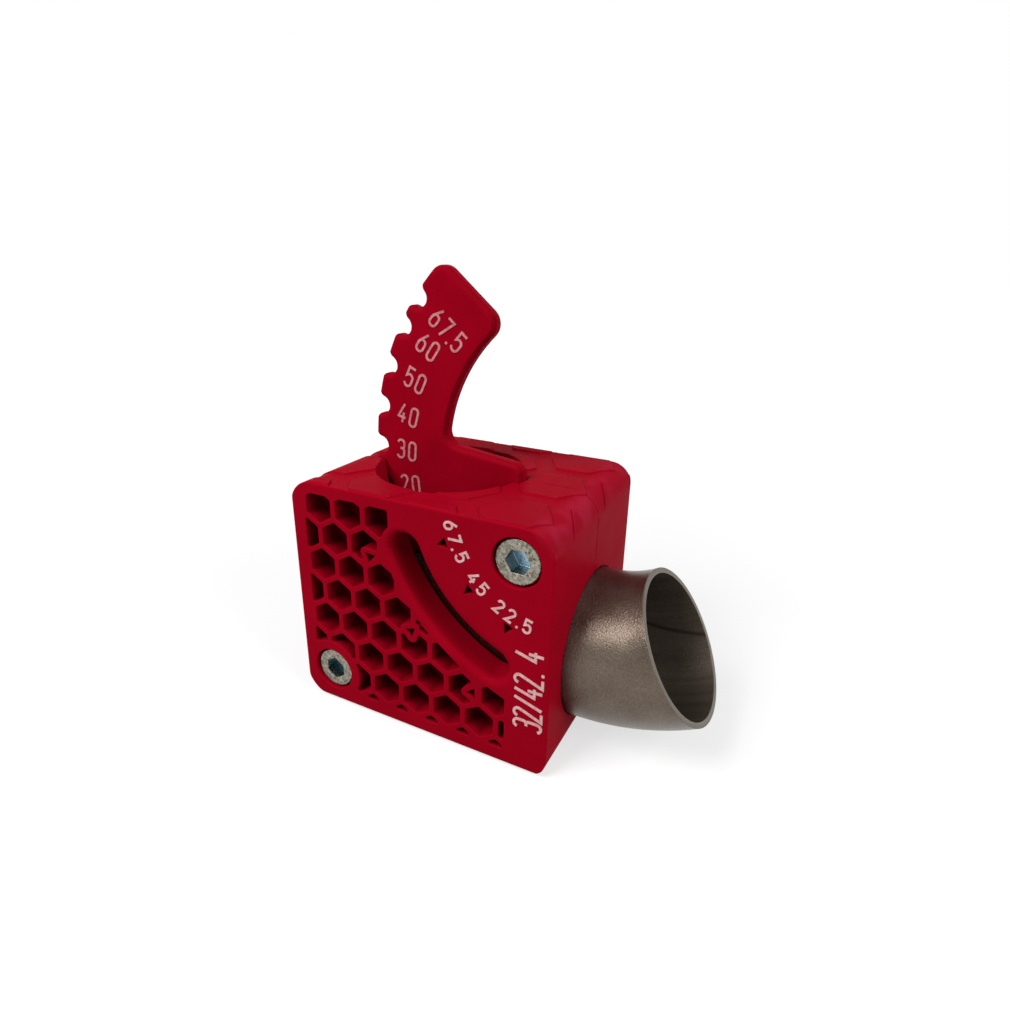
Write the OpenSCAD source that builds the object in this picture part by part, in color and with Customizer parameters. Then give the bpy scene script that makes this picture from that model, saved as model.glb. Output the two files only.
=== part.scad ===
// Tube cutting jig: a split block with a curved channel for a 90 degree tube elbow.
// An angle lever swings about the axis of the bend.
// It pushes the elbow out of the saw face by a set angle.
// Millimetres. X to the right, Y into the depth, Z up. The origin is the centre of the base.

/* [Block] */
// Width of the block
block_w = 80; // [74:0.5:100]
// Depth of the block, both shells together
block_d = 60; // [54:0.5:80]
// Height of the block
block_h = 70; // [66:0.5:90]
// Corner radius at the left, top and bottom
corner_r = 8.5; // [3:0.5:10]
// Corner radius at the upper right shoulder
shoulder_r = 7; // [3:0.5:8]
// Corner radius at the lower right heel
heel_r = 4.5; // [2:0.5:6]
// Rounding of the outer edges of the front and rear faces
edge_r = 1; // [0.4:0.1:1.5]
// Gap between the two shells while the screws are tight
parting_gap = 0.3; // [0.2:0.05:0.6]

/* [Elbow] */
// Outside diameter of the tube
tube_od = 42.4; // [36:0.1:44]
// Wall of the tube
tube_wall = 1.5; // [1:0.1:4]
// Radius of the bend, to the middle of the tube
bend_r = 48; // [46:0.5:50]
// Angle of the elbow
elbow_angle = 90; // [60:1:90]
// Distance of the bend axis beyond the saw face
axis_beyond_face = 2; // [0.5:0.5:4]
// Distance of the bend axis above the top face
axis_above_top = 3.5; // [1:0.5:6]
// Room between the tube and its channel
channel_clearance = 0.3; // [0.2:0.05:0.8]

/* [Lever] */
// Thickness of the lever
lever_t = 4.5; // [3.5:0.5:7]
// Outer radius of the lever, over its teeth
lever_outer_r = 72.6; // [71:0.1:73]
// Inner radius of the lever's foot
lever_foot_r = 24; // [22.8:0.1:25.5]
// Inner radius of the lever's arm
lever_arm_r = 48.5; // [45:0.5:54]
// Angle that the lever is set to at rest
lever_setting = 29.3; // [25:0.1:35]
// Angle of the arm's end at its inner edge, above the level line
arm_end_angle = 51.4; // [48:0.1:56]
// Slant of the arm's end away from the radial line
arm_end_slant = 11; // [0:1:14]
// Rounding at the outer corner of the arm's end
arm_tip_r = 4.2; // [2:0.1:8]
// Rounding at the inner corner of the arm's end
arm_heel_r = 4.5; // [2:0.5:6]
// Fillet between the arm and the foot
arm_root_r = 4; // [2:0.5:5]
// Height of the foot's top edge at the arm, above the level line
foot_rise = 3.8; // [2:0.1:4.5]
// Fall of the foot's top edge from the arm to its inner end
foot_fall = 2.9; // [2:0.1:5]
// Rounding at the foot's inner end
foot_tip_r = 3; // [2:0.5:4]
// Width of an index notch
notch_w = 5; // [3:0.1:6]
// Depth of an index notch
notch_depth = 3.8; // [2.5:0.1:4.5]
// Rounding of a notch's lips
notch_lip_r = 2; // [0.5:0.1:2.2]
// Angle that the notches and their numbers stand below the angle that they name
notch_lag = 0.5; // [0:0.1:1]
// Rounding of the lever's edges, in the steps of its printed layers
lever_edge_r = 1.5; // [0.6:0.1:1.8]
// Room beside and around the lever in its groove
lever_clearance = 0.2; // [0.1:0.05:0.4]
// Play between the lever's stop edge and the end of the elbow
stop_play = 0.1; // [0.05:0.05:0.3]

/* [Window] */
// Inner radius of the window, about the bend axis
window_inner_r = 42.8; // [38:0.1:44]
// Width of the window
window_w = 9.2; // [6:0.2:11]
// Angle of the window's upper end below the horizontal
window_upper_angle = 21.5; // [15:0.5:30]
// Angle of the window's lower end below the horizontal
window_lower_angle = 67.5; // [60:0.5:74]
// Rounding of the window's rim
window_rim_r = 2; // [0.5:0.1:2.5]
// Solid rim between the window and the honeycomb
window_border = 2.7; // [2.2:0.1:5]

/* [Honeycomb] */
// Distance between neighbouring cells
cell_pitch = 10.1; // [8:0.1:14]
// Wall between two cells
cell_wall = 1.5; // [1:0.1:3]
// Rounding of a cell's corners
cell_corner_r = 0.7; // [0.3:0.1:1.5]
// Depth of the cells
cell_depth = 7; // [3:0.5:7.5]
// Centre of the first cell from the left face
cell_first_x = 4.9; // [4:0.1:6]
// Centre of the first cell from the base
cell_first_z = 1.8; // [1.5:0.1:4]
// Margin of the honeycomb at the left
comb_left = 4.8; // [3:0.1:6]
// Margin of the honeycomb at the base
comb_base = 4.5; // [3:0.1:6]
// Margin of the honeycomb at the top
comb_top = 3.5; // [2:0.1:6]
// Margin of the honeycomb at the right, where the size number stands
comb_right = 12; // [10:0.5:16]
// Solid ring round the lower screw
screw_boss_r = 9.7; // [8:0.1:11]

/* [Relief] */
// Width of a hexagon of the relief, across its flats
tile_w = 17.2; // [10:0.1:20]
// Distance between neighbouring hexagons
tile_pitch = 23; // [20.5:0.1:28]
// Depth of the grooves between the hexagons
relief_depth = 0.4; // [0.2:0.1:0.8]
// Middle of the first column of hexagons from the saw face
tile_first_x = 13.5; // [8:0.5:18]

/* [Markers] */
// Angle that the markers and their numbers stand above the angle that they name
marker_lead = 1; // [0:0.1:3]
// Width of a marker triangle
marker_w = 3; // [2:0.1:4]
// Depth of a marker triangle
marker_depth = 2.5; // [0.5:0.1:4]
// Distance of the inner markers from the bend axis
marker_inner_r = 34.8; // [33:0.1:37]
// Distance of the outer markers from the bend axis
marker_outer_r = 58.9; // [58:0.1:63]
// Wall round an outer marker, where it stands in the honeycomb
marker_wall = 1.5; // [0.6:0.1:2]

/* [Clamp screws] */
// Diameter of a screw's thread
screw_d = 8; // [6:0.5:8]
// Diameter of a screw's head
head_d = 12.7; // [10:0.1:13.5]
// Height of a screw's head
head_h = 8; // [5:0.5:9]
// Size of the key, across its flats
key_w = 6; // [4:0.5:6]
// Depth of the key socket
key_depth = 4.5; // [3:0.5:5]
// Length of a screw under its head
screw_length = 50; // [44:1:52]
// Depth of the head's top below the front face
head_sink = 0.8; // [0.2:0.1:1.5]
// Room round the head in its counterbore
head_clearance = 0.35; // [0.2:0.05:0.6]
// Room round the thread in the shells
screw_clearance = 0.1; // [0.05:0.05:0.4]
// Upper screw, from the saw face
upper_screw_x = 9.65; // [9:0.05:12]
// Upper screw, from the top face
upper_screw_z = 9.7; // [9:0.1:12]
// Lower screw, from the left face
lower_screw_x = 10.6; // [10:0.1:14]
// Lower screw, from the base
lower_screw_z = 10.5; // [10:0.1:14]

/* [Nuts] */
// Size of a nut, across its flats
nut_w = 13; // [10:0.5:13]
// Height of a nut
nut_h = 6.5; // [4:0.5:8]
// Depth of the nut's outer face below the rear face
nut_sink = 1.5; // [0.5:0.5:3]
// Room round a nut in its pocket
nut_clearance = 0.15; // [0.1:0.05:0.4]
// Room round the thread in the nut
thread_clearance = 0.05; // [0.02:0.01:0.1]

/* [Numbers] */
// Height of the raised numbers above their face
number_raise = 0.2; // [0.1:0.05:0.4]
// Height of the digits on the lever
lever_digit_h = 6.2; // [4:0.1:7]
// Width of a digit on the lever
lever_digit_w = 2.9; // [2:0.1:3.2]
// Step from digit to digit on the lever
lever_digit_pitch = 4; // [3.5:0.1:5]
// Line width of the digits on the lever
lever_digit_line = 0.65; // [0.4:0.05:0.9]
// Distance of the first digit on the lever from the bend axis
lever_number_r = 63.5; // [60:0.5:64]
// Tilt of a number on the lever out of the radial line
lever_number_tilt = 5; // [0:0.5:8]
// Height of the digits beside the window
front_digit_h = 4.2; // [3:0.1:5]
// Width of a digit beside the window
front_digit_w = 2.4; // [1.8:0.1:2.6]
// Step from digit to digit beside the window, about the bend axis
front_digit_step = 6.8; // [6:0.1:8]
// Line width of the digits beside the window
front_digit_line = 0.6; // [0.4:0.05:0.8]
// Distance of the window's numbers from the bend axis
front_number_r = 30.4; // [29:0.1:32]
// Height of the digits of the size number
size_digit_h = 8.4; // [6:0.1:9]
// Width of a digit of the size number
size_digit_w = 3.1; // [2.6:0.1:3.2]
// Step from digit to digit of the size number
size_digit_pitch = 3.4; // [3.3:0.05:4.4]
// Step of the point in the size number
size_point_step = 4; // [2:0.1:5]
// Distance of the point back from the middle of its step
size_point_back = 1; // [0:0.1:1.2]
// Line width of the digits of the size number
size_digit_line = 0.75; // [0.5:0.05:1]
// Middle of the size number, from the saw face
size_number_x = 5.3; // [4.8:0.1:7]
// Middle of the size number, from the base
size_number_z = 25.6; // [20:0.1:30]

/* [Hidden] */
$fn = 96;
shell_red = [0.70, 0.02, 0.10];
lever_red = [0.62, 0.01, 0.08];
number_white = [0.90, 0.78, 0.78];
zinc = [0.72, 0.72, 0.70];
stainless = [0.45, 0.42, 0.38];
over = 1;
left = -block_w / 2;
right = block_w / 2;
front = -block_d / 2;
rear = block_d / 2;
axis_x = right + axis_beyond_face;
axis_z = block_h + axis_above_top;
channel_r = tube_od / 2 + channel_clearance;
groove_outer_r = lever_outer_r + lever_clearance;
groove_foot_r = lever_foot_r - lever_clearance;
groove_w = lever_t + 2 * lever_clearance;
settings = [10, 20, 30, 40, 50, 60, 67.5];
last_setting = settings[len(settings) - 1];
groove_end_angle = last_setting + 4;
stop_angle = -lever_setting;
window_r = window_inner_r + window_w / 2;
cell_r = (cell_pitch - cell_wall) / sqrt(3);
row_pitch = cell_pitch * sqrt(3) / 2;
tile_r = tile_w / sqrt(3);
column_pitch = tile_pitch * sqrt(3) / 2;
upper_screw = [right - upper_screw_x, block_h - upper_screw_z];
lower_screw = [left + lower_screw_x, lower_screw_z];
head_seat = front + head_sink + head_h;
nut_seat = rear - nut_sink - nut_h;
marked_angles = [22.5, 45, 67.5];
head_chamfer = 0.5;
screw_chamfer = 0.8;
nut_chamfer = 0.8;
lever_edge_steps = 6;
// Room that keeps two arcs from touching in a single point
arc_gap = 0.02;

// Turns the drawing plane so that the bend axis is its origin.
// Angles then count upwards from the level line that runs to the left.
module at_bend_axis()
    translate([axis_x, 0, axis_z]) rotate([90, 0, 180]) children();

// Turns the drawing plane upright, with X to the right and Z up, and sets its back at the given depth
module upright(y)
    translate([0, y, 0]) rotate([90, 0, 0]) children();

// What a square corner loses when it is rounded
module corner_waste(r)
    difference() {
        translate([-over, -over]) square(r + over);
        translate([r, r]) circle(r);
    }

// Outline of the block as seen from the front
module block_outline()
    difference() {
        translate([left, 0]) square([block_w, block_h]);
        translate([left, 0]) corner_waste(corner_r);
        translate([left, block_h]) mirror([0, 1]) corner_waste(corner_r);
        translate([right, block_h]) rotate(180) corner_waste(shoulder_r);
        translate([right, 0]) mirror([1, 0]) corner_waste(heel_r);
    }

// Rectangle with all four corners rounded alike
module rounded_rectangle(w, h, r)
    difference() {
        translate([-w / 2, -h / 2]) square([w, h]);
        for (x = [0, 1], y = [0, 1])
            mirror([x, 0]) mirror([0, y]) translate([-w / 2, -h / 2]) corner_waste(r);
    }

// Whole block with its outer edges rounded
module block_body()
    intersection() {
        upright(rear) linear_extrude(block_d) block_outline();
        translate([left - over, 0, block_h / 2]) rotate([90, 0, 90])
            linear_extrude(block_w + 2 * over) rounded_rectangle(block_d, block_h, edge_r);
        translate([0, 0, -over]) linear_extrude(block_h + 2 * over)
            rounded_rectangle(block_w, block_d, edge_r);
    }

// Grooves between the hexagons on the top, of the same depth all along and running out over the shoulder
module relief_grooves()
    difference() {
        upright(rear + over) linear_extrude(block_d + 2 * over) difference() {
            block_outline();
            translate([0, -relief_depth]) block_outline();
        }
        let (columns = ceil(block_w / column_pitch), rows = ceil(block_d / tile_pitch))
            for (i = [-1 : columns], j = [-rows : rows])
                translate([right - tile_first_x - i * column_pitch,
                    (j + (i % 2 == 0 ? 0 : 0.5)) * tile_pitch, block_h / 2])
                    cylinder(h = block_h, r = tile_r, $fn = 6);
    }

// Curved channel that the elbow lies in, open at the top and at the saw face
module channel()
    at_bend_axis() rotate(-100) rotate_extrude(angle = 112) translate([bend_r, 0]) circle(channel_r);

// Groove that the lever runs in, at the parting plane
module lever_groove()
    at_bend_axis() rotate(-groove_end_angle) rotate_extrude(angle = groove_end_angle + 12)
        translate([groove_foot_r, -groove_w / 2]) square([groove_outer_r - groove_foot_r, groove_w]);

// Points along an arc
function arc(centre, r, low, high, steps) =
    [for (i = [0 : steps]) let (a = low + i * (high - low) / steps) centre + r * [cos(a), sin(a)]];

// The same with its first and last chord lengthened, so that they cross the lines that the arc touches
function long_arc(centre, r, low, high, steps) =
    let (p = arc(centre, r, low, high, steps))
    concat([2 * p[0] - p[1]], [for (i = [1 : steps - 1]) p[i]], [2 * p[steps] - p[steps - 1]]);

// Outline of the window about the bend axis, at half its width: part of a ring with round ends
function window_ring(half) =
    concat(
        arc([0, 0], window_r + half, -window_lower_angle, -window_upper_angle, 24),
        arc(window_r * [cos(window_upper_angle), -sin(window_upper_angle)], half,
            15 - window_upper_angle, 165 - window_upper_angle, 10),
        arc([0, 0], window_r - half, -window_upper_angle, -window_lower_angle, 24),
        arc(window_r * [cos(window_lower_angle), -sin(window_lower_angle)], half,
            195 - window_lower_angle, 345 - window_lower_angle, 10));

// Cut for the window, from the channel out to the rounded rim at the front face
module window()
    at_bend_axis() let (
            levels = concat(
                [[-lever_t, window_w / 2]],
                [for (a = [0 : 22.5 : 90])
                    [front + window_rim_r * (1 - sin(a)), window_w / 2 + window_rim_r * (1 - cos(a))]],
                [[front - over, window_w / 2 + window_rim_r]]),
            n = len(window_ring(1)))
        polyhedron(
            points = [for (level = levels) for (q = window_ring(level[1])) [q[0], q[1], level[0]]],
            faces = concat(
                [[for (i = [0 : n - 1]) n - 1 - i]],
                [for (k = [0 : len(levels) - 2], i = [0 : n - 1])
                    [k * n + i, k * n + (i + 1) % n, (k + 1) * n + (i + 1) % n, (k + 1) * n + i]],
                [[for (i = [0 : n - 1]) (len(levels) - 1) * n + i]]));

// Area that the honeycomb may take: left of the window and below it,
// clear of the lower screw and the markers
module comb_area()
    difference() {
        translate([left + comb_left, comb_base])
            square([block_w - comb_left - comb_right, block_h - comb_base - comb_top]);
        intersection() {
            translate([axis_x, axis_z]) circle(window_r + window_w / 2 + window_border);
            translate([left, -over])
                square([2 * block_w, axis_z - window_r * sin(window_upper_angle) + over]);
        }
        translate([window_end_x(), window_end_z()]) circle(window_w / 2 + window_border);
        translate([window_end_x() - window_w / 2, window_end_z()]) square([block_w, block_h]);
        translate(lower_screw) circle(screw_boss_r);
        for (a = marked_angles)
            translate([axis_x, axis_z]) rotate(-a - marker_lead) translate([0, -marker_outer_r])
                offset(r = marker_wall, $fn = 24) marker_outline();
    }

function window_end_x() = axis_x - window_r * cos(window_upper_angle);
function window_end_z() = axis_z - window_r * sin(window_upper_angle);

module honeycomb()
    upright(front + cell_depth) linear_extrude(cell_depth + over)
        offset(r = cell_corner_r, $fn = 24) offset(delta = -cell_corner_r)
            intersection() {
                comb_area();
                union() {
                    for (row = [0 : ceil(block_h / row_pitch)], column = [-1 : ceil(block_w / cell_pitch)])
                        translate([left + cell_first_x + (column + (row % 2) / 2) * cell_pitch,
                            cell_first_z + row * row_pitch]) rotate(30) circle(cell_r, $fn = 6);
                }
            }

// Triangles on the marked angles, which point at the window from both sides
module marker_recesses()
    translate([axis_x, 0, axis_z]) for (a = marked_angles)
        rotate([0, a + marker_lead, 0]) {
            translate([0, 0, -marker_inner_r]) mirror([0, 0, 1]) marker_triangle();
            translate([0, 0, -marker_outer_r]) marker_triangle();
        }

module marker_triangle()
    upright(front + marker_depth) linear_extrude(marker_depth + over) marker_outline();

// Triangle as wide as it is high, which points up
module marker_outline()
    polygon([[-marker_w / 2, -marker_w / 2], [marker_w / 2, -marker_w / 2], [0, marker_w / 2]]);

module screw_hole(place)
    upright(rear + over) translate(place)
        cylinder(h = block_d + 2 * over, d = screw_d + 2 * screw_clearance);

module head_counterbore(place)
    upright(head_seat) translate(place)
        cylinder(h = head_sink + head_h + over, d = head_d + 2 * head_clearance);

module nut_pocket(place)
    upright(rear + over) translate(place)
        cylinder(h = nut_sink + nut_h + over, r = (nut_w + 2 * nut_clearance) / sqrt(3), $fn = 6);

// Cuts that both shells share
module shared_cuts() {
    relief_grooves();
    channel();
    lever_groove();
    screw_hole(upper_screw);
    screw_hole(lower_screw);
}

module rear_shell()
    color(shell_red) difference() {
        block_body();
        translate([left - over, front - over, -over])
            cube([block_w + 2 * over, block_d / 2 + over + parting_gap / 2, block_h + 2 * over]);
        shared_cuts();
        nut_pocket(upper_screw);
        nut_pocket(lower_screw);
    }

module front_shell()
    color(shell_red) difference() {
        block_body();
        translate([left - over, -parting_gap / 2, -over])
            cube([block_w + 2 * over, block_d / 2 + over + parting_gap / 2, block_h + 2 * over]);
        shared_cuts();
        head_counterbore(upper_screw);
        head_counterbore(lower_screw);
        window();
        honeycomb();
        marker_recesses();
    }

// Part of a disc between two angles
module pie(r, low, high)
    intersection() {
        circle(r);
        polygon(concat([[0, 0]], arc([0, 0], 2 * r, low, high, 4)));
    }

// Notch in the lever's outer edge, with its axis along X, for an outline that is set in.
// Its round bottom runs into its lips, over straight sides where it is deep enough for them.
module notch_cut(inset)
    let (
        bottom_r = notch_w / 2,
        bottom = lever_outer_r - notch_depth + bottom_r,
        lip = lever_outer_r - notch_lip_r,
        reach = bottom_r + notch_lip_r,
        straight = lip - bottom,
        spread = sqrt(reach * reach - pow(min(0, straight), 2)) + arc_gap,
        meeting = straight > 0 ? lip : bottom + (bottom_r + inset) * straight / reach)
    union() {
        translate([bottom, 0]) circle(bottom_r + inset);
        if (straight > 0)
            translate([bottom, -bottom_r - inset]) square([straight + over, 2 * (bottom_r + inset)]);
        difference() {
            translate([meeting, -spread]) square([lever_outer_r + over - meeting, 2 * spread]);
            for (side = [-1, 1])
                translate([lip, side * spread]) circle(max(0.1, notch_lip_r - inset));
        }
    }

// Middle of a rounding that touches a line and a circle about the bend axis.
// The line runs outwards through p along d.
// The middle lies shift from it, at the distance reach from the axis.
function rounding_centre(p, d, shift, reach) =
    let (q = p + shift * [-d[1], d[0]], along = q * d)
    q + (sqrt(along * along - q * q + reach * reach) - along) * d;

// What a corner between a line and a circle loses when it is rounded
module tip_waste(p, d, r, circle_r, side)
    let (
        centre = rounding_centre(p, d, -r, circle_r + side * r),
        normal_angle = atan2(d[0], -d[1]),
        radial_angle = atan2(centre[1], centre[0]) + (side > 0 ? 180 : 0),
        bisector = (normal_angle + radial_angle) / 2)
    polygon(concat(
        long_arc(centre, r, normal_angle, radial_angle, 10),
        [centre + (r + over) * [cos(radial_angle), sin(radial_angle)],
            centre + 3 * r * [cos(bisector), sin(bisector)],
            centre + (r + over) * [cos(normal_angle), sin(normal_angle)]]));

// What a hollow corner between a line and the inside of a circle keeps when it is filleted
module root_fill(p, d, r, circle_r)
    let (
        centre = rounding_centre(p, d, r, circle_r - r),
        normal_angle = atan2(-d[0], d[1]),
        radial_angle = atan2(centre[1], centre[0]),
        bisector = (normal_angle + radial_angle) / 2)
    polygon(concat(
        long_arc(centre, r, normal_angle, radial_angle, 10),
        [centre + (r + over) * [cos(radial_angle), sin(radial_angle)],
            centre + 1.6 * r * [cos(bisector), sin(bisector)],
            centre + (r + over) * [cos(normal_angle), sin(normal_angle)]]));

// Everything on the upper side of a line
module above_line(p, d)
    let (up = [-d[1], d[0]])
    polygon([p - block_w * d, p + block_w * d, p + block_w * (d + up), p + block_w * (up - d)]);

// Outline of the lever about the bend axis, at the present setting, with all of its edges set in
module lever_outline(inset)
    let (
        stop_d = [cos(stop_angle), sin(stop_angle)],
        foot_inner = [lever_foot_r, foot_rise - foot_fall],
        foot_outer = [lever_arm_r, foot_rise],
        foot_d = unit(foot_outer - foot_inner),
        foot_p = foot_outer - inset * [-foot_d[1], foot_d[0]],
        end_d = [cos(arm_end_angle - arm_end_slant), sin(arm_end_angle - arm_end_slant)],
        end_p = lever_arm_r * [cos(arm_end_angle), sin(arm_end_angle)] - inset * [-end_d[1], end_d[0]],
        outer_r = lever_outer_r - inset,
        arm_r = lever_arm_r + inset,
        foot_r = lever_foot_r + inset)
    difference() {
        pie(outer_r, stop_angle - 5, arm_end_angle + 20);
        above_line(inset * [-stop_d[1], stop_d[0]], -stop_d);
        circle(foot_r);
        difference() {
            intersection() {
                circle(arm_r);
                above_line(foot_p, foot_d);
            }
            root_fill(foot_p, foot_d, arm_root_r + inset, arm_r);
        }
        tip_waste(foot_p, foot_d, foot_tip_r - inset, foot_r, 1);
        above_line(end_p, end_d);
        tip_waste(end_p, end_d, arm_tip_r - inset, outer_r, -1);
        tip_waste(end_p, end_d, arm_heel_r - inset, arm_r, 1);
        for (setting = settings)
            rotate(setting - lever_setting - notch_lag) notch_cut(inset);
    }

// The lever's slab, whose edges are rounded by layers that are set in more towards its faces
module angle_lever()
    color(lever_red) at_bend_axis() for (k = [1 : lever_edge_steps])
        let (
            half = lever_t / 2 - lever_edge_r * (1 - k / lever_edge_steps),
            inset = k == 1 ? 0 : lever_edge_r * (1 - sqrt(1 - pow((k - 0.5) / lever_edge_steps, 2))))
        translate([0, 0, -half]) linear_extrude(2 * half) lever_outline(inset);

module elbow()
    color(stainless) at_bend_axis() rotate(stop_angle - stop_play - elbow_angle)
        rotate_extrude(angle = elbow_angle) translate([bend_r, 0]) difference() {
            circle(tube_od / 2);
            circle(tube_od / 2 - tube_wall);
        }

// Socket head cap screw with its head to the front
module clamp_screw(place, key_turn)
    color(zinc) upright(head_seat) translate(place) difference() {
        union() {
            cylinder(h = head_h - head_chamfer, d = head_d);
            translate([0, 0, head_h - head_chamfer])
                cylinder(h = head_chamfer, d1 = head_d, d2 = head_d - 2 * head_chamfer);
            translate([0, 0, screw_chamfer - screw_length]) cylinder(h = screw_length, d = screw_d);
            translate([0, 0, -screw_length])
                cylinder(h = screw_chamfer, d1 = screw_d - 2 * screw_chamfer, d2 = screw_d);
        }
        translate([0, 0, head_h - key_depth]) rotate(key_turn)
            cylinder(h = key_depth + over, r = key_w / sqrt(3), $fn = 6);
    }

module upper_clamp_screw() clamp_screw(upper_screw, 0);

module lower_clamp_screw() clamp_screw(lower_screw, 30);

// Hexagon nut, with its bore on the screw
module clamp_nut(place)
    color(zinc) upright(nut_seat + nut_h) translate(place) difference() {
        intersection() {
            cylinder(h = nut_h, r = nut_w / sqrt(3), $fn = 6);
            union() {
                cylinder(h = nut_chamfer, d1 = nut_w, d2 = nut_w + 4 * nut_chamfer);
                translate([0, 0, nut_chamfer])
                    cylinder(h = nut_h - nut_chamfer, d = nut_w + 4 * nut_chamfer);
            }
        }
        translate([0, 0, -over]) cylinder(h = nut_h + 2 * over, d = screw_d + 2 * thread_clearance);
    }

module upper_clamp_nut() clamp_nut(upper_screw);

module lower_clamp_nut() clamp_nut(lower_screw);

// Unit direction between two points, and the line's side direction there
function unit(v) = v / norm(v);
function side_of(a, b) = let (d = unit(b - a)) [-d[1], d[0]];

// Side direction at a point of a path, lengthened so that the stroke keeps its width round a corner
function corner_side(path, i) =
    i == 0 ? side_of(path[0], path[1])
    : i == len(path) - 1 ? side_of(path[i - 1], path[i])
    : let (a = side_of(path[i - 1], path[i]), b = side_of(path[i], path[i + 1])) (a + b) / (1 + a * b);

// Line of even width along a path
module stroke(path, width)
    polygon(concat(
        [for (i = [0 : len(path) - 1]) path[i] + width / 2 * corner_side(path, i)],
        [for (i = [len(path) - 1 : -1 : 0]) path[i] - width / 2 * corner_side(path, i)]));

// Upright ring with round ends
module ring_digit(w, low, high, width)
    difference() {
        polygon(concat(arc([w / 2, high - w / 2], w / 2 + width / 2, 0, 180, 12),
            arc([w / 2, low + w / 2], w / 2 + width / 2, 180, 360, 12)));
        polygon(concat(arc([w / 2, high - w / 2], w / 2 - width / 2, 0, 180, 12),
            arc([w / 2, low + w / 2], w / 2 - width / 2, 180, 360, 12)));
    }

// One narrow digit, drawn along the middle of its strokes in a box of w by h
module digit(c, w, h, width)
    let (r = w / 2, top = [r, h - r], base = [r, r], waist = 0.54 * h, q = 0.35 * w) {
        if (c == "0") ring_digit(w, 0, h, width);
        if (c == "1") stroke([[0.1 * w, 0.8 * h], [0.6 * w, h], [0.6 * w, 0]], width);
        if (c == "2") stroke(concat(arc(top, r, 170, -20, 12), [[0, 0], [w, 0]]), width);
        if (c == "3") {
            stroke(concat(arc(top, r, 165, 0, 10), arc([w - q, waist + q], q, 0, -90, 5),
                [[0.4 * w, waist]]), width);
            stroke(concat([[0.6 * w, waist]], arc([w - q, waist - q], q, 90, 0, 5),
                arc(base, r, 0, -165, 10)), width);
        }
        if (c == "4") {
            stroke([[0.62 * w, h], [0, 0.28 * h], [1.1 * w, 0.28 * h]], width);
            stroke([[0.72 * w, 0.52 * h], [0.72 * w, 0]], width);
        }
        if (c == "5") stroke(concat([[w, h], [0.05 * w, h], [0.05 * w, waist]],
            arc([r, waist + 0.1 * h - r], r, 120, 0, 8), arc(base, r, 0, -165, 10)), width);
        if (c == "6") {
            ring_digit(w, 0, 0.62 * h, width);
            stroke([[0, 0.3 * h], [0.08 * w, 0.52 * h], [0.75 * w, h]], width);
        }
        if (c == "7") stroke([[0, h], [w, h], [0.3 * w, 0]], width);
        if (c == "/") stroke([[0, 0], [w, h]], width);
        if (c == ".") translate([r - width / 2, -width / 2]) square(width);
    }

// Place of a character in its row, where a point takes a smaller step than a digit
function step_of(c, pitch, point) = c == "." ? point : pitch;
function place_of(characters, i, pitch, point) =
    i == 0 ? 0
    : place_of(characters, i - 1, pitch, point)
        + (step_of(characters[i - 1], pitch, point) + step_of(characters[i], pitch, point)) / 2;
function row_length(characters, pitch, point) = place_of(characters, len(characters) - 1, pitch, point);

// One digit, centred on its place and raised from its face
module raised_digit(c, w, h, width)
    translate([-(w - width) / 2, (width - h) / 2])
        linear_extrude(number_raise) digit(c, w - width, h - width, width);

// Row of digits that starts at its place
module number(characters, w, h, pitch, point, width, point_back = 0)
    for (i = [0 : len(characters) - 1])
        translate([place_of(characters, i, pitch, point) - (characters[i] == "." ? point_back : 0), 0])
            raised_digit(characters[i], w, h, width);

// Numbers at the markers, with their digits on an arc and their heads to the bend axis
module window_numbers()
    let (step = front_digit_step, point = 0.36 * front_digit_step)
    color(number_white) upright(front) translate([axis_x, axis_z])
        for (a = marked_angles) let (characters = str(a), half = row_length(characters, step, point) / 2)
            for (i = [0 : len(characters) - 1])
                rotate(place_of(characters, i, step, point) - half - a - marker_lead)
                    translate([0, -front_number_r])
                        raised_digit(characters[i], front_digit_w, front_digit_h, front_digit_line);

// Size of the tube, which reads upwards along the right margin
module size_number()
    let (characters = str("32/", tube_od))
    color(number_white) upright(front) translate([right - size_number_x, size_number_z]) rotate(90)
        translate([-row_length(characters, size_digit_pitch, size_point_step) / 2, 0])
            number(characters, size_digit_w, size_digit_h, size_digit_pitch, size_point_step, size_digit_line,
                size_point_back);

// Numbers beside the lever's notches, which read towards the bend axis and start in one line
module lever_numbers()
    color(number_white) upright(-lever_t / 2) translate([axis_x, axis_z]) for (setting = settings)
        rotate(lever_setting - setting + notch_lag) translate([-lever_number_r, 0]) rotate(-lever_number_tilt)
            number(str(setting), lever_digit_w, lever_digit_h, lever_digit_pitch, 0.3 * lever_digit_pitch,
                lever_digit_line);

rear_shell();
front_shell();
angle_lever();
elbow();
upper_clamp_screw();
lower_clamp_screw();
upper_clamp_nut();
lower_clamp_nut();
window_numbers();
size_number();
lever_numbers();
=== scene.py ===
# Tube cutting jig: the looks of its pieces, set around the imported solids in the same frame, in metres.
import math
import bpy
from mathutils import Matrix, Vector


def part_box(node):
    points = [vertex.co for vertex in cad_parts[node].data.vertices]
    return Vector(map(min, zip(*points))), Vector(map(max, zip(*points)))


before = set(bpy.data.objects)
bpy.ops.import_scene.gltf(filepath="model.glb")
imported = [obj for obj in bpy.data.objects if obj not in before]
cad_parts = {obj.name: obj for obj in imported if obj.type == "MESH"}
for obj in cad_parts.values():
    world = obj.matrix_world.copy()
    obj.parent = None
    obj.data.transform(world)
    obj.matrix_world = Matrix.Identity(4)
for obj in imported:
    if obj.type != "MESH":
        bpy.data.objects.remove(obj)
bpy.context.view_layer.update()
bpy.ops.object.select_all(action="DESELECT")


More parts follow.
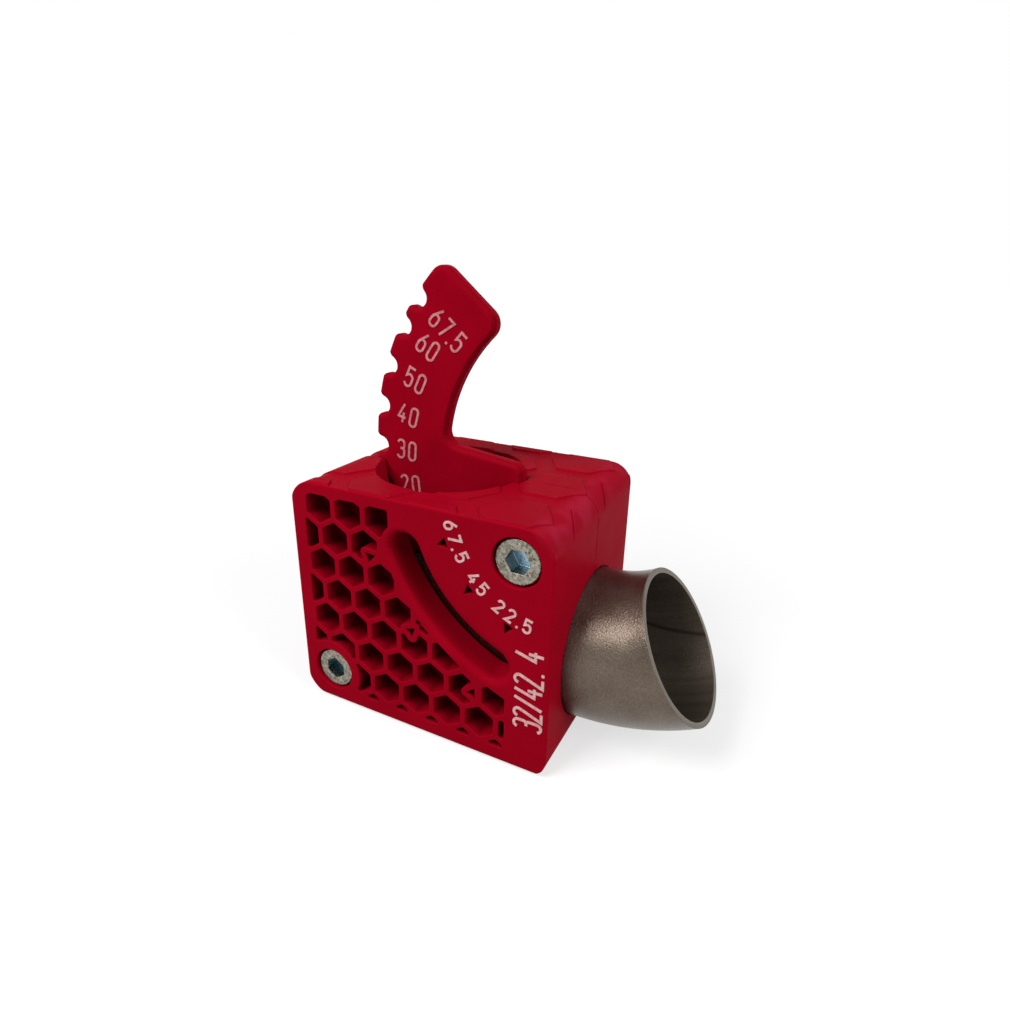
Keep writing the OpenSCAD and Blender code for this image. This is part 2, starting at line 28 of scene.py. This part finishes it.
# Rear shell
# One half of the clamp block, printed in red PETG with its outer face on the build plate.
# The layers are stacked along Y, so they show as fine lines on the top, the base and the sides.

def linear(hex_colour):
    """Linear colour of an sRGB hex value."""
    parts = [int(hex_colour[i:i + 2], 16) / 255 for i in (1, 3, 5)]
    return [c / 12.92 if c <= 0.04045 else ((c + 0.055) / 1.055) ** 2.4 for c in parts] + [1.0]


# A Mix node takes its factor at input 0, its numbers at 2 and 3 and its colours at 6 and 7.
# A mix of numbers comes out at output 0, and a mix of colours at output 2.
def add_node(tree, kind, inputs=None, **settings):
    """Adds a node, with its settings, and a value or a link for each input."""
    node = tree.nodes.new(kind)
    for name, value in settings.items():
        setattr(node, name, value)
    for socket, value in (inputs or {}).items():
        if isinstance(value, bpy.types.NodeSocket):
            tree.links.new(value, node.inputs[socket])
        else:
            node.inputs[socket].default_value = value
    return node


def new_material(name):
    """Material with an empty tree and its output node."""
    material = bpy.data.materials.new(name)
    material.use_nodes = True
    material.node_tree.nodes.clear()
    return material, material.node_tree, material.node_tree.nodes.new("ShaderNodeOutputMaterial")


def finish_node(name, material):
    """Gives a solid its material."""
    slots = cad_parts[name].data.materials
    slots.clear()
    slots.append(material)


# Printed PETG: beads of plastic laid side by side, so the sides are finely ribbed and the flats carry
# the faint slanting tracks of the first layer. Edges are soft and carry a painted highlight, a paler
# line, the shoulder shows its layers as wavy contours in a painted pink sheen, and deep hollows get
# painted shade, a darker red.
def printed_petg(name, lit_colour, deep_colour, edge_colour, edge_mm, shoulder_glaze):
    # A painted pink reflection on the shoulder
    glaze_colour = "#A82A44"
    layer_mm = 0.5           # Real layers are 0.2 mm, which is finer than a pixel
    contour_mm = 1.1         # Several layers that show as one line on the shoulder
    patch_mm = 7             # Patches of the painted sheen on the shoulder
    track_mm = 0.9           # Real tracks are 0.45 mm wide
    track_slant = math.radians(45)
    cloud_mm = 18            # Patches of uneven gloss and tone
    grain_mm = 0.35          # Fine grain of the plastic
    rib_tint = 0.05          # How much of the ribs shows in the colour
    grain_tint = 0.12        # How much of the grain shows in the colour
    hollow_mm = 10           # Walls nearer than this darken a hollow with painted shade
    shoulder_from = 0.1025   # X plus Z where the rounded upper right edge begins
    shoulder_to = 0.106      # X plus Z where its painted sheen is full
    one_wave_per_metre = 2 * math.pi / 20
    material, tree, output = new_material(name)
    place = add_node(tree, "ShaderNodeTexCoord").outputs["Object"]

    # Soft edges: near an edge the normal leans over, and a painted highlight, a paler colour, comes in
    # as it does
    bevel = add_node(tree, "ShaderNodeBevel", {"Radius": edge_mm / 1000}, samples=6)
    soft_edge = bevel.outputs["Normal"]
    flat = add_node(tree, "ShaderNodeNewGeometry").outputs["True Normal"]
    facing = add_node(tree, "ShaderNodeVectorMath", {0: soft_edge, 1: flat}, operation="DOT_PRODUCT")
    on_edge = add_node(tree, "ShaderNodeMapRange", {
        "Value": facing.outputs["Value"], "From Min": 0.99, "From Max": 0.8})

    # Layers on the sides and tracks on the flats
    side_on = add_node(tree, "ShaderNodeSeparateXYZ", {0: flat})
    to_front = add_node(tree, "ShaderNodeMath", {0: side_on.outputs["Y"]}, operation="ABSOLUTE")
    layers = add_node(tree, "ShaderNodeTexWave", {
        "Vector": place, "Scale": one_wave_per_metre * 1000 / layer_mm, "Distortion": 0.0},
        wave_type="BANDS", bands_direction="Y")
    slanted = add_node(tree, "ShaderNodeMapping", {"Vector": place, "Rotation": (0, track_slant, 0)})
    tracks = add_node(tree, "ShaderNodeTexWave", {
        "Vector": slanted.outputs[0], "Scale": one_wave_per_metre * 1000 / track_mm,
        "Distortion": 0.4, "Detail": 1.0, "Detail Scale": 0.3},
        wave_type="BANDS", bands_direction="X")
    faint_tracks = add_node(tree, "ShaderNodeMapRange", {
        "Value": tracks.outputs["Fac"], "To Min": 0.35, "To Max": 0.65})
    ribs = add_node(tree, "ShaderNodeMix", {
        0: to_front.outputs[0], 2: layers.outputs["Fac"], 3: faint_tracks.outputs[0]},
        data_type="FLOAT")

    # Painted sheen on the shoulder: a pink reflection in patches, stronger along the layer contours
    contours = add_node(tree, "ShaderNodeTexWave", {
        "Vector": place, "Scale": one_wave_per_metre * 1000 / contour_mm,
        "Distortion": 3.5, "Detail": 2.0, "Detail Scale": 0.12},
        wave_type="BANDS", bands_direction="Y")
    spot = add_node(tree, "ShaderNodeSeparateXYZ", {0: place})
    upper_right = add_node(tree, "ShaderNodeMath", {
        0: spot.outputs["X"], 1: spot.outputs["Z"]}, operation="ADD")
    shoulder = add_node(tree, "ShaderNodeMapRange", {
        "Value": upper_right.outputs[0], "From Min": shoulder_from, "From Max": shoulder_to,
        "To Min": 0.0, "To Max": shoulder_glaze})
    patches = add_node(tree, "ShaderNodeTexNoise", {
        "Vector": place, "Scale": 1000 / patch_mm, "Detail": 1.0})
    patchy = add_node(tree, "ShaderNodeMapRange", {
        "Value": patches.outputs["Fac"], "From Min": 0.4, "From Max": 0.6,
        "To Min": 0.25, "To Max": 1.0})
    contour = add_node(tree, "ShaderNodeMapRange", {
        "Value": contours.outputs["Fac"], "To Min": 0.55, "To Max": 1.0})
    sheen_patch = add_node(tree, "ShaderNodeMath", {
        0: patchy.outputs[0], 1: contour.outputs[0]}, operation="MULTIPLY")
    glaze = add_node(tree, "ShaderNodeMath", {
        0: shoulder.outputs[0], 1: sheen_patch.outputs[0]}, operation="MULTIPLY")

    # Colour
    grain = add_node(tree, "ShaderNodeTexNoise", {
        "Vector": place, "Scale": 1000 / grain_mm, "Detail": 2.0, "Roughness": 0.6})
    cloud = add_node(tree, "ShaderNodeTexNoise", {
        "Vector": place, "Scale": 1000 / cloud_mm, "Detail": 4.0, "Roughness": 0.55})
    tone = add_node(tree, "ShaderNodeMapRange", {
        "Value": cloud.outputs["Fac"], "From Min": 0.3, "From Max": 0.7})
    body = add_node(tree, "ShaderNodeMix", {
        0: tone.outputs[0], 6: linear(deep_colour), 7: linear(lit_colour)}, data_type="RGBA")
    streaked = add_node(tree, "ShaderNodeMix", {
        0: rib_tint, 6: body.outputs[2], 7: ribs.outputs[0]},
        data_type="RGBA", blend_type="OVERLAY")
    grainy = add_node(tree, "ShaderNodeMix", {
        0: grain_tint, 6: streaked.outputs[2], 7: grain.outputs["Fac"]},
        data_type="RGBA", blend_type="OVERLAY")
    # Painted sheen: the pink colour stands in for a reflection on the shoulder
    glazed = add_node(tree, "ShaderNodeMix", {
        0: glaze.outputs[0], 6: grainy.outputs[2], 7: linear(glaze_colour)}, data_type="RGBA")
    # Painted highlight: a paler colour along the soft edges
    edged = add_node(tree, "ShaderNodeMix", {
        0: on_edge.outputs[0], 6: glazed.outputs[2], 7: linear(edge_colour)}, data_type="RGBA")
    # Painted shade: the colour is darkened in hollows, the more the walls close them in
    openness = add_node(tree, "ShaderNodeAmbientOcclusion", {"Distance": hollow_mm / 1000},
                        samples=6, only_local=True)
    hollow = add_node(tree, "ShaderNodeMapRange", {
        "Value": openness.outputs["AO"], "From Min": 0.05, "From Max": 0.4,
        "To Min": 0.35, "To Max": 1.0})
    colour = add_node(tree, "ShaderNodeMix", {
        0: 1.0, 6: edged.outputs[2], 7: hollow.outputs[0]},
        data_type="RGBA", blend_type="MULTIPLY")

    # Gloss and relief
    sheen = add_node(tree, "ShaderNodeMapRange", {
        "Value": cloud.outputs["Fac"], "From Min": 0.3, "From Max": 0.7,
        "To Min": 0.36, "To Max": 0.5})
    relief = add_node(tree, "ShaderNodeMath", {
        0: grain.outputs["Fac"], 1: ribs.outputs[0]}, operation="ADD")
    bump = add_node(tree, "ShaderNodeBump", {
        "Height": relief.outputs[0], "Normal": soft_edge, "Strength": 0.22, "Distance": 0.00006})
    shader = add_node(tree, "ShaderNodeBsdfPrincipled", {
        "Base Color": colour.outputs[2], "Roughness": sheen.outputs[0], "IOR": 1.57,
        "Specular IOR Level": 0.004, "Normal": bump.outputs[0]})
    tree.links.new(shader.outputs[0], output.inputs["Surface"])
    return material


# Its edge colour is a painted highlight.
shell_petg = printed_petg("printed_red_petg", lit_colour="#97041B", deep_colour="#8C0318",
                          edge_colour="#A50820", edge_mm=0.5, shoulder_glaze=0.6)
finish_node("rear_shell", shell_petg)


# Clamp nuts
# Two plain M8 nuts of zinc-plated steel, pressed into hexagon pockets in the rear shell.
# They give the clamp screws their thread.

# Zinc plate: a thin matt coat with a mottle of two greys and small dark pits.
# In a key socket the walls carry painted shade, and the floor, which faces the front, a brighter painted
# reflection.
def zinc_plate(name, bright, dull, key_socket=None):
    mottle_mm = 0.8      # Patches of the plating
    pit_mm = 1.1         # Distance between the dark pits, which are 0.3 mm wide
    pit_colour = "#34322D"
    edge_mm = 0.3        # Rounding of the edges
    blend_mm = 1         # Depth over which a socket's colour comes in
    material, tree, output = new_material(name)
    place = add_node(tree, "ShaderNodeTexCoord").outputs["Object"]
    mottle = add_node(tree, "ShaderNodeTexNoise", {
        "Vector": place, "Scale": 1000 / mottle_mm, "Detail": 3.0, "Roughness": 0.6})
    pits = add_node(tree, "ShaderNodeTexVoronoi", {"Vector": place, "Scale": 1000 / pit_mm})
    patch = add_node(tree, "ShaderNodeMapRange", {
        "Value": mottle.outputs["Fac"], "From Min": 0.35, "From Max": 0.65})
    unpitted = add_node(tree, "ShaderNodeMapRange", {
        "Value": pits.outputs["Distance"], "From Min": 0.14, "From Max": 0.24})
    mottled = add_node(tree, "ShaderNodeMix", {
        0: patch.outputs[0], 6: linear(dull), 7: linear(bright)}, data_type="RGBA")
    colour = add_node(tree, "ShaderNodeMix", {
        0: unpitted.outputs[0], 6: linear(pit_colour), 7: mottled.outputs[2]}, data_type="RGBA")
    if key_socket:
        # The socket lies between its rim and its end along Y, and its floor faces the front
        wall_colour, floor_colour, rim_y, end_y = key_socket
        depth = add_node(tree, "ShaderNodeSeparateXYZ", {0: place})
        past_rim = add_node(tree, "ShaderNodeMapRange", {
            "Value": depth.outputs["Y"], "From Min": rim_y, "From Max": rim_y + blend_mm / 1000})
        before_end = add_node(tree, "ShaderNodeMapRange", {
            "Value": depth.outputs["Y"], "From Min": end_y, "From Max": end_y + blend_mm / 1000,
            "To Min": 1.0, "To Max": 0.0})
        in_socket = add_node(tree, "ShaderNodeMath", {
            0: past_rim.outputs[0], 1: before_end.outputs[0]}, operation="MULTIPLY")
        flat = add_node(tree, "ShaderNodeNewGeometry").outputs["True Normal"]
        side_on = add_node(tree, "ShaderNodeSeparateXYZ", {0: flat})
        to_front = add_node(tree, "ShaderNodeMapRange", {
            "Value": side_on.outputs["Y"], "From Min": -0.5, "From Max": -0.9})
        # Painted shade on the socket's walls and a painted reflection on its floor, by which way they
        # face
        oily = add_node(tree, "ShaderNodeMix", {
            0: to_front.outputs[0], 6: linear(wall_colour), 7: linear(floor_colour)}, data_type="RGBA")
        colour = add_node(tree, "ShaderNodeMix", {
            0: in_socket.outputs[0], 6: colour.outputs[2], 7: oily.outputs[2]}, data_type="RGBA")
    dullness = add_node(tree, "ShaderNodeMapRange", {
        "Value": mottle.outputs["Fac"], "From Min": 0.3, "From Max": 0.7,
        "To Min": 0.24, "To Max": 0.42})
    bevel = add_node(tree, "ShaderNodeBevel", {"Radius": edge_mm / 1000}, samples=6)
    bump = add_node(tree, "ShaderNodeBump", {
        "Height": patch.outputs[0], "Normal": bevel.outputs["Normal"],
        "Strength": 0.25, "Distance": 0.00005})
    shader = add_node(tree, "ShaderNodeBsdfPrincipled", {
        "Base Color": colour.outputs[2], "Metallic": 1.0, "Roughness": dullness.outputs[0],
        "Normal": bump.outputs[0]})
    tree.links.new(shader.outputs[0], output.inputs["Surface"])
    return material


nut_zinc = zinc_plate("zinc_plated_nut_steel", bright="#A9A79C", dull="#86857C")
for nut in ("upper_clamp_nut", "lower_clamp_nut"):
    finish_node(nut, nut_zinc)


# Angle lever and its numbers
# A flat sickle of red PETG with a notch for each setting, printed on its side.
# The numbers are a second, white PETG, one thin layer that lets some red show through.

# Its edge colour is a painted highlight.
lever_petg = printed_petg("printed_red_petg_flat", lit_colour="#94031A", deep_colour="#860216",
                          edge_colour="#98061C", edge_mm=1.6, shoulder_glaze=0.0)
finish_node("angle_lever", lever_petg)


# Thin white PETG: pinkish where the layer is full, and redder in the patches where it is thin.
def thin_white_petg(name, full, thin):
    patch_mm = 1.2       # Patches where the white layer is thin
    material, tree, output = new_material(name)
    place = add_node(tree, "ShaderNodeTexCoord").outputs["Object"]
    patch = add_node(tree, "ShaderNodeTexNoise", {
        "Vector": place, "Scale": 1000 / patch_mm, "Detail": 3.0, "Roughness": 0.6})
    cover = add_node(tree, "ShaderNodeMapRange", {
        "Value": patch.outputs["Fac"], "From Min": 0.35, "From Max": 0.65})
    colour = add_node(tree, "ShaderNodeMix", {
        0: cover.outputs[0], 6: linear(thin), 7: linear(full)}, data_type="RGBA")
    bump = add_node(tree, "ShaderNodeBump", {
        "Height": patch.outputs["Fac"], "Strength": 0.2, "Distance": 0.00005})
    shader = add_node(tree, "ShaderNodeBsdfPrincipled", {
        "Base Color": colour.outputs[2], "Roughness": 0.5, "IOR": 1.57,
        "Specular IOR Level": 0.3, "Normal": bump.outputs[0]})
    tree.links.new(shader.outputs[0], output.inputs["Surface"])
    return material


lever_white = thin_white_petg("white_petg_on_lever", full="#C98286", thin="#A85C62")
finish_node("lever_numbers", lever_white)


# Elbow
# The workpiece: a quarter bend of 42.4 mm stainless pipe, hot formed, pickled and cut at both ends.
# It lies in the channel between the shells, against the lever's stop edge.

# Pickled stainless steel: a dull warm grey with a fine grain outside and plain dull cut ends.
# The inside keeps brown scale with streaks along the bend, and one dark line winds along it.
bend_axis = (0.042, 0.0735)
bend_radius = 0.048
pipe_radius = 0.0212
pipe_wall = 0.0015
pipe_start = math.radians(29.4)
pipe_end = math.radians(119.4)
end_turn = 0.002         # Angle along the bend that counts as a cut end, in radians
streak_turn = 0.125      # Width of a streak round the pipe, in radians: about 2.5 mm
streak_run = 1.25        # Length of a streak along the bend, in radians: 60 mm
line_place = 2.649       # Angle round the pipe where the dark line would start, in radians
line_twist = 0.69        # How far it goes back round the pipe in each radian of the bend
line_dark = 0.01         # Half width of its dark middle, in radians
line_faded = 0.045       # Half width where it has faded out
cloud_mm = 14            # Patches of the pickled skin
grain_mm = 0.5           # Grain of the skin
grain_tint = 0.6         # How much of the grain shows in the colour
edge_mm = 0.3            # Rounding of the cut edges
stainless, tree, output = new_material("pickled_stainless_steel")
place = add_node(tree, "ShaderNodeTexCoord").outputs["Object"]

# Angle along the bend, angle round the pipe and distance from the pipe's middle
apart = add_node(tree, "ShaderNodeSeparateXYZ", {0: place})
across = add_node(tree, "ShaderNodeMath", {
    0: bend_axis[0], 1: apart.outputs["X"]}, operation="SUBTRACT")
below = add_node(tree, "ShaderNodeMath", {
    0: bend_axis[1], 1: apart.outputs["Z"]}, operation="SUBTRACT")
across_2 = add_node(tree, "ShaderNodeMath", {
    0: across.outputs[0], 1: across.outputs[0]}, operation="MULTIPLY")
reach_2 = add_node(tree, "ShaderNodeMath", {
    0: below.outputs[0], 1: below.outputs[0], 2: across_2.outputs[0]}, operation="MULTIPLY_ADD")
reach = add_node(tree, "ShaderNodeMath", {0: reach_2.outputs[0]}, operation="SQRT")
off_centre = add_node(tree, "ShaderNodeMath", {
    0: reach.outputs[0], 1: bend_radius}, operation="SUBTRACT")
along = add_node(tree, "ShaderNodeMath", {
    0: below.outputs[0], 1: across.outputs[0]}, operation="ARCTAN2")
round_pipe = add_node(tree, "ShaderNodeMath", {
    0: apart.outputs["Y"], 1: off_centre.outputs[0]}, operation="ARCTAN2")
off_2 = add_node(tree, "ShaderNodeMath", {
    0: off_centre.outputs[0], 1: off_centre.outputs[0]}, operation="MULTIPLY")
pipe_2 = add_node(tree, "ShaderNodeMath", {
    0: apart.outputs["Y"], 1: apart.outputs["Y"], 2: off_2.outputs[0]}, operation="MULTIPLY_ADD")
from_middle = add_node(tree, "ShaderNodeMath", {0: pipe_2.outputs[0]}, operation="SQRT")
inside = add_node(tree, "ShaderNodeMapRange", {
    "Value": from_middle.outputs[0], "From Min": pipe_radius - 0.4 * pipe_wall,
    "From Max": pipe_radius - 0.9 * pipe_wall})
near_start = add_node(tree, "ShaderNodeMath", {
    0: along.outputs[0], 1: pipe_start + end_turn}, operation="LESS_THAN")
near_end = add_node(tree, "ShaderNodeMath", {
    0: along.outputs[0], 1: pipe_end - end_turn}, operation="GREATER_THAN")
cut_end = add_node(tree, "ShaderNodeMath", {
    0: near_start.outputs[0], 1: near_end.outputs[0]}, operation="MAXIMUM")

# Outer skin
cloud = add_node(tree, "ShaderNodeTexNoise", {
    "Vector": place, "Scale": 1000 / cloud_mm, "Detail": 4.0, "Roughness": 0.6})
cloud_tone = add_node(tree, "ShaderNodeMapRange", {
    "Value": cloud.outputs["Fac"], "From Min": 0.32, "From Max": 0.68})
grain = add_node(tree, "ShaderNodeTexNoise", {
    "Vector": place, "Scale": 1000 / grain_mm, "Detail": 3.0, "Roughness": 0.7})
outer_skin = add_node(tree, "ShaderNodeMix", {
    0: cloud_tone.outputs[0], 6: linear("#5B5047"), 7: linear("#6C6157")}, data_type="RGBA")
outer_grain = add_node(tree, "ShaderNodeMix", {
    0: grain_tint, 6: outer_skin.outputs[2], 7: grain.outputs["Fac"]},
    data_type="RGBA", blend_type="OVERLAY")

# Scale and a dark line on the inside
wrapped = add_node(tree, "ShaderNodeCombineXYZ", {0: round_pipe.outputs[0], 1: along.outputs[0]})
stretched = add_node(tree, "ShaderNodeMapping", {
    "Vector": wrapped.outputs[0], "Scale": (1 / streak_turn, 1 / streak_run, 1.0)})
streak = add_node(tree, "ShaderNodeTexNoise", {
    "Vector": stretched.outputs[0], "Scale": 1.0, "Detail": 5.0, "Roughness": 0.62})
streak_tone = add_node(tree, "ShaderNodeMapRange", {
    "Value": streak.outputs["Fac"], "From Min": 0.35, "From Max": 0.7})
scale_skin = add_node(tree, "ShaderNodeMix", {
    0: streak_tone.outputs[0], 6: linear("#584E44"), 7: linear("#685E53")}, data_type="RGBA")
line_turn = add_node(tree, "ShaderNodeMath", {
    0: along.outputs[0], 1: line_twist, 2: -line_place}, operation="MULTIPLY_ADD")
line_off = add_node(tree, "ShaderNodeMath", {
    0: round_pipe.outputs[0], 1: line_turn.outputs[0]}, operation="ADD")
line_near = add_node(tree, "ShaderNodeMath", {0: line_off.outputs[0]}, operation="ABSOLUTE")
drawn_line = add_node(tree, "ShaderNodeMapRange", {
    "Value": line_near.outputs[0], "From Min": line_dark, "From Max": line_faded,
    "To Min": 0.75, "To Max": 0.0})
scored_skin = add_node(tree, "ShaderNodeMix", {
    0: drawn_line.outputs[0], 6: scale_skin.outputs[2], 7: linear("#2E2721")}, data_type="RGBA")

# Colour, gloss and relief
skin = add_node(tree, "ShaderNodeMix", {
    0: inside.outputs[0], 6: outer_grain.outputs[2], 7: scored_skin.outputs[2]}, data_type="RGBA")
steel_colour = add_node(tree, "ShaderNodeMix", {
    0: cut_end.outputs[0], 6: skin.outputs[2], 7: linear("#5C5547")}, data_type="RGBA")
bare_metal = add_node(tree, "ShaderNodeMapRange", {
    "Value": inside.outputs[0], "To Min": 1.0, "To Max": 0.5})
dullness = add_node(tree, "ShaderNodeMapRange", {
    "Value": cloud.outputs["Fac"], "From Min": 0.3, "From Max": 0.7,
    "To Min": 0.24, "To Max": 0.36})
bevel = add_node(tree, "ShaderNodeBevel", {"Radius": edge_mm / 1000}, samples=6)
bump = add_node(tree, "ShaderNodeBump", {
    "Height": grain.outputs["Fac"], "Normal": bevel.outputs["Normal"],
    "Strength": 0.85, "Distance": 0.0001})
steel = add_node(tree, "ShaderNodeBsdfPrincipled", {
    "Base Color": steel_colour.outputs[2], "Metallic": bare_metal.outputs[0],
    "Roughness": dullness.outputs[0], "Normal": bump.outputs[0]})
tree.links.new(steel.outputs[0], output.inputs["Surface"])
finish_node("elbow", stainless)


# Front shell and its numbers
# The other half of the clamp block, of the same red PETG, with a honeycomb and a curved window.
# Its numbers are white PETG laid into the first layer of the print.

finish_node("front_shell", shell_petg)
face_white = thin_white_petg("white_petg_on_face", full="#D9B0AE", thin="#C58F8F")
for numbers in ("window_numbers", "size_number"):
    finish_node(numbers, face_white)


# Clamp screws
# Two M8 cap screws of zinc-plated steel that pull the shells together.
# They stand in the front shell's counterbores, with their key sockets to the front.

head_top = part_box("upper_clamp_screw")[0].y
socket_rim = head_top + 0.0008     # Below the head's chamfer, which stays plain
socket_end = head_top + 0.006      # Below the socket's floor, which is 4.5 mm down
# The socket gets a dark teal painted shade on its walls and a pale blue painted reflection on its floor.
screw_zinc = zinc_plate("zinc_plated_screw_steel", bright="#A09B8D", dull="#615E54",
                        key_socket=("#536663", "#B1CEEA", socket_rim, socket_end))
for screw in ("upper_clamp_screw", "lower_clamp_screw"):
    finish_node(screw, screw_zinc)


# Studio
# A white paper floor in a white room, with a large soft light on the upper left
# and a weaker one on the right.
# The camera stands where the photograph was taken, above the right front corner.

def seen_rays(tree):
    """1 for the rays that show the backdrop: to the camera, off metal or through glass."""
    light_path = add_node(tree, "ShaderNodeLightPath")
    seen = add_node(tree, "ShaderNodeMath", {
        0: light_path.outputs["Is Camera Ray"], 1: light_path.outputs["Is Glossy Ray"]},
        operation="MAXIMUM")
    seen_through = add_node(tree, "ShaderNodeMath", {
        0: seen.outputs[0], 1: light_path.outputs["Is Transmission Ray"]}, operation="MAXIMUM")
    return seen_through.outputs[0]


bpy.ops.mesh.primitive_plane_add(size=6, location=(0, 0, -0.0005))
floor = bpy.context.active_object
floor.name = "studio_floor"
bpy.ops.object.transform_apply(location=True, rotation=True, scale=True)

# White paper: grey enough near the jig to keep its soft shadow, and white further out.
near_jig = 0.12
far_out = 0.4
paper, tree, output = new_material("white_paper")
matt = add_node(tree, "ShaderNodeBsdfDiffuse", {"Color": linear("#A0A0A0")})
ground = add_node(tree, "ShaderNodeTexCoord").outputs["Object"]
distance = add_node(tree, "ShaderNodeVectorMath", {0: ground}, operation="LENGTH")
whiteness = add_node(tree, "ShaderNodeMapRange", {
    "Value": distance.outputs["Value"], "From Min": near_jig, "From Max": far_out,
    "To Min": 0.64, "To Max": 0.9}, interpolation_type="SMOOTHSTEP")
lifted = add_node(tree, "ShaderNodeMath", {
    0: seen_rays(tree), 1: whiteness.outputs[0]}, operation="MULTIPLY")
lift = add_node(tree, "ShaderNodeEmission", {
    "Strength": lifted.outputs[0], "Color": linear("#FFFFFF")})
lit_paper = add_node(tree, "ShaderNodeAddShader", {0: matt.outputs[0], 1: lift.outputs[0]})
tree.links.new(lit_paper.outputs[0], output.inputs["Surface"])
floor.data.materials.append(paper)

room = bpy.data.worlds.new("white_room")
room.use_nodes = True
tree = room.node_tree
tree.nodes.clear()
strength = add_node(tree, "ShaderNodeMapRange", {
    "Value": seen_rays(tree), "To Min": 0.35, "To Max": 1.0})
white = add_node(tree, "ShaderNodeBackground", {
    "Color": linear("#FFFFFF"), "Strength": strength.outputs[0]})
add_node(tree, "ShaderNodeOutputWorld", {"Surface": white.outputs[0]})
scene = bpy.context.scene
scene.world = room


def soft_light(name, place, width, power):
    """Square area light that faces the middle of the jig."""
    middle = Vector((0, 0, 0.04))
    bpy.ops.object.light_add(type="AREA", location=place)
    lamp = bpy.context.active_object
    lamp.name = name
    lamp.data.shape = "SQUARE"
    lamp.data.size = width
    lamp.data.energy = power
    lamp.rotation_euler = (lamp.location - middle).to_track_quat("Z", "Y").to_euler()


soft_light("key_light", place=(-0.25, -0.45, 0.6), width=0.35, power=5.2)
soft_light("fill_light", place=(0.6, -0.1, 0.35), width=0.4, power=2.6)

# Solved from the block's edges, the screw heads and the circles of the tube
camera_turn = [math.radians(angle) for angle in (69.424, -0.744, 27.548)]
bpy.ops.object.camera_add(location=(0.0901, -0.1563, 0.1303), rotation=camera_turn)
camera = bpy.context.active_object
camera.name = "photo_camera"
camera.data.sensor_width = 36
camera.data.lens = 23.457
camera.data.shift_x = 0.00802
camera.data.shift_y = -0.01106
camera.data.clip_start = 0.01
scene.camera = camera
scene.view_settings.view_transform = "Standard"
